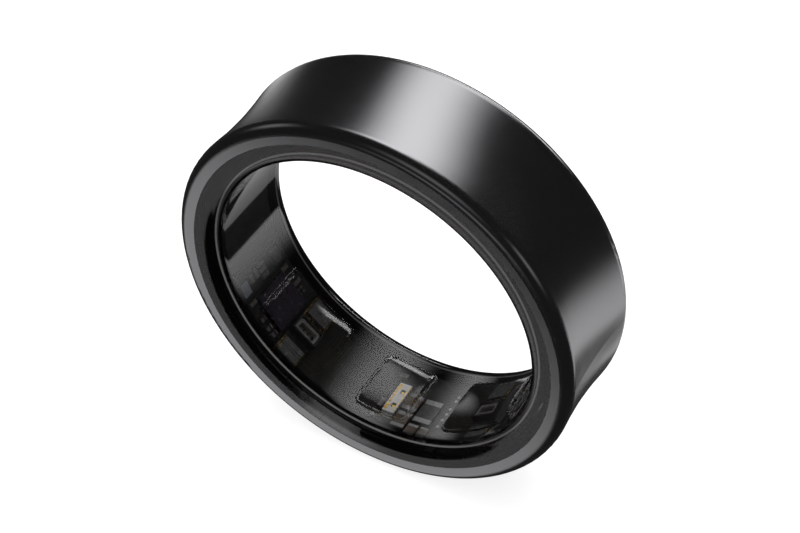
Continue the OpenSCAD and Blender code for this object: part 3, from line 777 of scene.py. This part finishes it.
FLOOR_SIZE = 6
FLOOR_TONE = 0.8
FLOOR_SEEN_TONE = 0.5
FLOOR_GLOW = 0.8


def towards(azimuth, elevation):
    """Direction from the ring. Azimuth 0 is towards -Y and 90 towards +X."""
    a, e = math.radians(azimuth), math.radians(elevation)
    return Vector((math.sin(a) * math.cos(e), -math.cos(a) * math.cos(e), math.sin(e)))


def face_the_ring(thing, away):
    """Turns a camera or a lamp so that it looks back along a direction from the ring."""
    thing.rotation_mode = "QUATERNION"
    thing.rotation_quaternion = away.to_track_quat("Z", "Y")


def studio_camera():
    lens = bpy.data.cameras.new("camera")
    lens.lens = CAMERA_LENS
    lens.sensor_width = CAMERA_SENSOR
    lens.clip_start = 1 * MM
    camera = bpy.data.objects.new("camera", lens)
    bpy.context.scene.collection.objects.link(camera)
    camera.location = CENTRE + CAMERA_FROM_CENTRE
    face_the_ring(camera, towards(CAMERA_AZIMUTH, CAMERA_ELEVATION))
    bpy.context.scene.camera = camera


def soft_panel(name, azimuth, elevation, distance, width, height, power):
    """A soft lamp that reflections don't see. Its distance and size are in metres."""
    light = bpy.data.lights.new(name, "AREA")
    light.shape = "RECTANGLE"
    light.size, light.size_y = width, height
    light.energy = power
    panel = bpy.data.objects.new(name, light)
    bpy.context.scene.collection.objects.link(panel)
    away = towards(azimuth, elevation)
    panel.location = CENTRE + away * distance
    face_the_ring(panel, away)
    panel.visible_glossy = False


def empty_material(name):
    material = bpy.data.materials.new(name)
    material.use_nodes = True
    material.node_tree.nodes.clear()
    return material, material.node_tree


def show_surface(tree, shader):
    tree.links.new(shader, add_node(tree, "OutputMaterial").inputs["Surface"])


def white_glow(tree, strength):
    return add_node(tree, "Emission", {"Color": grey(1), "Strength": strength}).outputs[0]


def floor_finish():
    """Pale floor: white to the camera where it is lit, and the object's shadow stays on it."""
    material, tree = empty_material("pale_floor")
    tooth = noise(tree, object_place(tree), 3000.0, 2.0)
    normal = relief(tree, tooth, 0.02, 0.2)
    lit = add_node(tree, "BsdfDiffuse", {"Color": grey(FLOOR_TONE), "Normal": normal}).outputs[0]
    seen = add_node(tree, "BsdfDiffuse", {"Color": grey(FLOOR_SEEN_TONE), "Normal": normal}).outputs[0]
    white = add_node(tree, "AddShader", {0: seen, 1: white_glow(tree, FLOOR_GLOW)}).outputs[0]
    path = add_node(tree, "LightPath").outputs
    not_lit_part = maths(tree, "LESS_THAN", path["Diffuse Depth"], 0.5)
    through_resin = times(tree, path["Is Transmission Ray"], not_lit_part)
    shown = add_node(tree, "MixShader", {0: path["Is Camera Ray"], 1: lit, 2: white}).outputs[0]
    dim = white_glow(tree, ROOM_LEVEL)
    shown = add_node(tree, "MixShader", {0: through_resin, 1: shown, 2: dim}).outputs[0]
    show_surface(tree, shown)
    return material


def floor():
    nothing_selected()
    bpy.ops.mesh.primitive_plane_add(size=FLOOR_SIZE, location=(0, 0, 0))
    plane = bpy.context.object
    plane.name = "floor"
    plane.data.materials.append(floor_finish())
    plane.visible_glossy = False
    plane.visible_shadow = False


def card_finish(name, level, fades):
    """A glow that fades towards the card's left, right, foot and top, over a share of its size."""
    material, tree = empty_material(name)
    material.cycles.emission_sampling = "NONE"
    x, y = add_node(tree, "SeparateXYZ", {0: object_place(tree)}).outputs[:2]
    left, foot = times(tree, x, -1.0), times(tree, y, -1.0)
    strength = level
    for value, fade in zip((left, x, foot, y), fades):
        edge = spread(tree, value, 1.0, 1 - 2 * fade, way="SMOOTHSTEP")
        strength = times(tree, strength, edge)
    clear = add_node(tree, "BsdfTransparent").outputs[0]
    shown = add_node(tree, "AddShader", {0: white_glow(tree, strength), 1: clear}).outputs[0]
    show_surface(tree, shown)
    return material


def soft_card(name, level, middle, right, up, half_size, fades):
    """A glowing card, seen only in reflections. Its place and size are in millimetres from the middle."""
    nothing_selected()
    bpy.ops.mesh.primitive_plane_add(size=2)
    card = bpy.context.object
    card.name = name
    half_width, half_height = (half * MM for half in half_size)
    side = Vector(right).normalized()
    rise = (Vector(up) - side * side.dot(Vector(up))).normalized()
    columns = Matrix((side * half_width, rise * half_height, side.cross(rise) * MM)).transposed()
    card.matrix_world = Matrix.Translation(CENTRE + Vector(middle) * MM) @ columns.to_4x4()
    card.data.materials.append(card_finish(name, level, fades))
    for way in ("camera", "diffuse", "transmission", "shadow", "volume_scatter"):
        setattr(card, "visible_" + way, False)


def backdrop():
    """White to the camera and to light that reaches the parts in the resin. Reflections see a dark room."""
    world = bpy.data.worlds.new("studio")
    bpy.context.scene.world = world
    world.use_nodes = True
    world.cycles.sampling_method = "NONE"
    tree = world.node_tree
    tree.nodes.clear()
    path = add_node(tree, "LightPath").outputs
    lit_part = maths(tree, "GREATER_THAN", path["Diffuse Depth"], 0.5)
    from_part = times(tree, path["Is Transmission Ray"], lit_part)
    reflected = times(tree, path["Is Glossy Ray"], less(tree, 1.0, from_part))
    level = 0.0
    for ray, strength in (
        (path["Is Camera Ray"], 1.0),
        (from_part, PARTS_LEVEL),
        (path["Is Diffuse Ray"], AMBIENT),
        (reflected, ROOM_LEVEL),
    ):
        level = plus(tree, level, times(tree, ray, strength))
    shown = add_node(tree, "Background", {"Color": grey(1), "Strength": level}).outputs[0]
    tree.links.new(shown, add_node(tree, "OutputWorld").inputs["Surface"])


studio_camera()
floor()
backdrop()
soft_panel("back_panel", azimuth=-165, elevation=45, distance=0.25, width=0.2, height=0.15, power=0.4)
soft_panel("overhead_panel", azimuth=0, elevation=80, distance=0.4, width=0.5, height=0.5, power=0.8)

# The large card behind and above gives the band its broad highlight
soft_card(
    "key_card", 4.1, middle=(-12.7, 57.6, 67.3), right=(-0.9, 0.23, -0.37), up=(-0.41, -0.73, 0.55),
    half_size=(41, 50), fades=(0.45, 0.45, 0.3, 0.3),
)
# Cards farther behind, one low and one to the right
soft_card(
    "low_back_card", 6.0, middle=(-2, 88, 26), right=(-1, 0, 0), up=(0, -0.3, 0.95),
    half_size=(54, 9), fades=(0.15, 0.2, 0.3, 0.3),
)
soft_card(
    "right_card", 1.3, middle=(58.6, 50, -29.2), right=(0.8, 0, 0.6), up=(0, 1, 0),
    half_size=(24, 26), fades=(0.08, 0.6, 0.2, 0.2),
)
# Small cards close behind the ring, for the reflections in its bore
soft_card(
    "bore_card", 0.9, middle=(17.7, 23, -13), right=(0.45, 0, 0.89), up=(0, 1, 0),
    half_size=(9.4, 12), fades=(0.05, 0.7, 0.2, 0.2),
)
soft_card(
    "near_left_card", 2.6, middle=(-18.6, 18.4, 0.5), right=(0.645, 0.765, 0), up=(0.4, 0, 0.92),
    half_size=(8, 8), fades=(0.4, 0.4, 0.5, 0.5),
)
soft_card(
    "low_card", 0.6, middle=(-7, 26, -30), right=(1, 0, 0), up=(0, 1, 0),
    half_size=(11.5, 12), fades=(0.3, 0.05, 0.2, 0.2),
)
# Cards in front of the ring
soft_card(
    "front_low_card", 1.25, middle=(-44, -44, -83), right=(-0.88, -0.03, 0.48), up=(-0.23, 0.9, -0.36),
    half_size=(60, 30), fades=(0.3, 0.3, 0.06, 0.4),
)
soft_card(
    "front_card", 0.5, middle=(9, -80, 66), right=(0.99, 0.11, 0), up=(-0.07, 0.63, 0.77),
    half_size=(55, 32), fades=(0.45, 0.45, 0.4, 0.4),
)
soft_card(
    "straight_front_card", 0.5, middle=(0, -110, -6), right=(1, 0, 0), up=(0, 0, 1),
    half_size=(60, 24), fades=(0.4, 0.4, 0.4, 0.4),
)
# Cards to both sides, and one below at the left
for name, side in (("right_side_card", 1), ("left_side_card", -1)):
    soft_card(
        name, 0.7, middle=(side * 105, -15, 45), right=(0, side, 0), up=(-0.4 * side, 0, 0.9),
        half_size=(34, 30), fades=(0.45, 0.45, 0.45, 0.45),
    )
soft_card(
    "low_left_card", 0.5, middle=(-75, 48, -80), right=(-0.5, -0.8, 0), up=(-0.5, 0.3, 0.8),
    half_size=(26, 26), fades=(0.4, 0.4, 0.4, 0.4),
)

bpy.context.scene.view_settings.view_transform = "Standard"
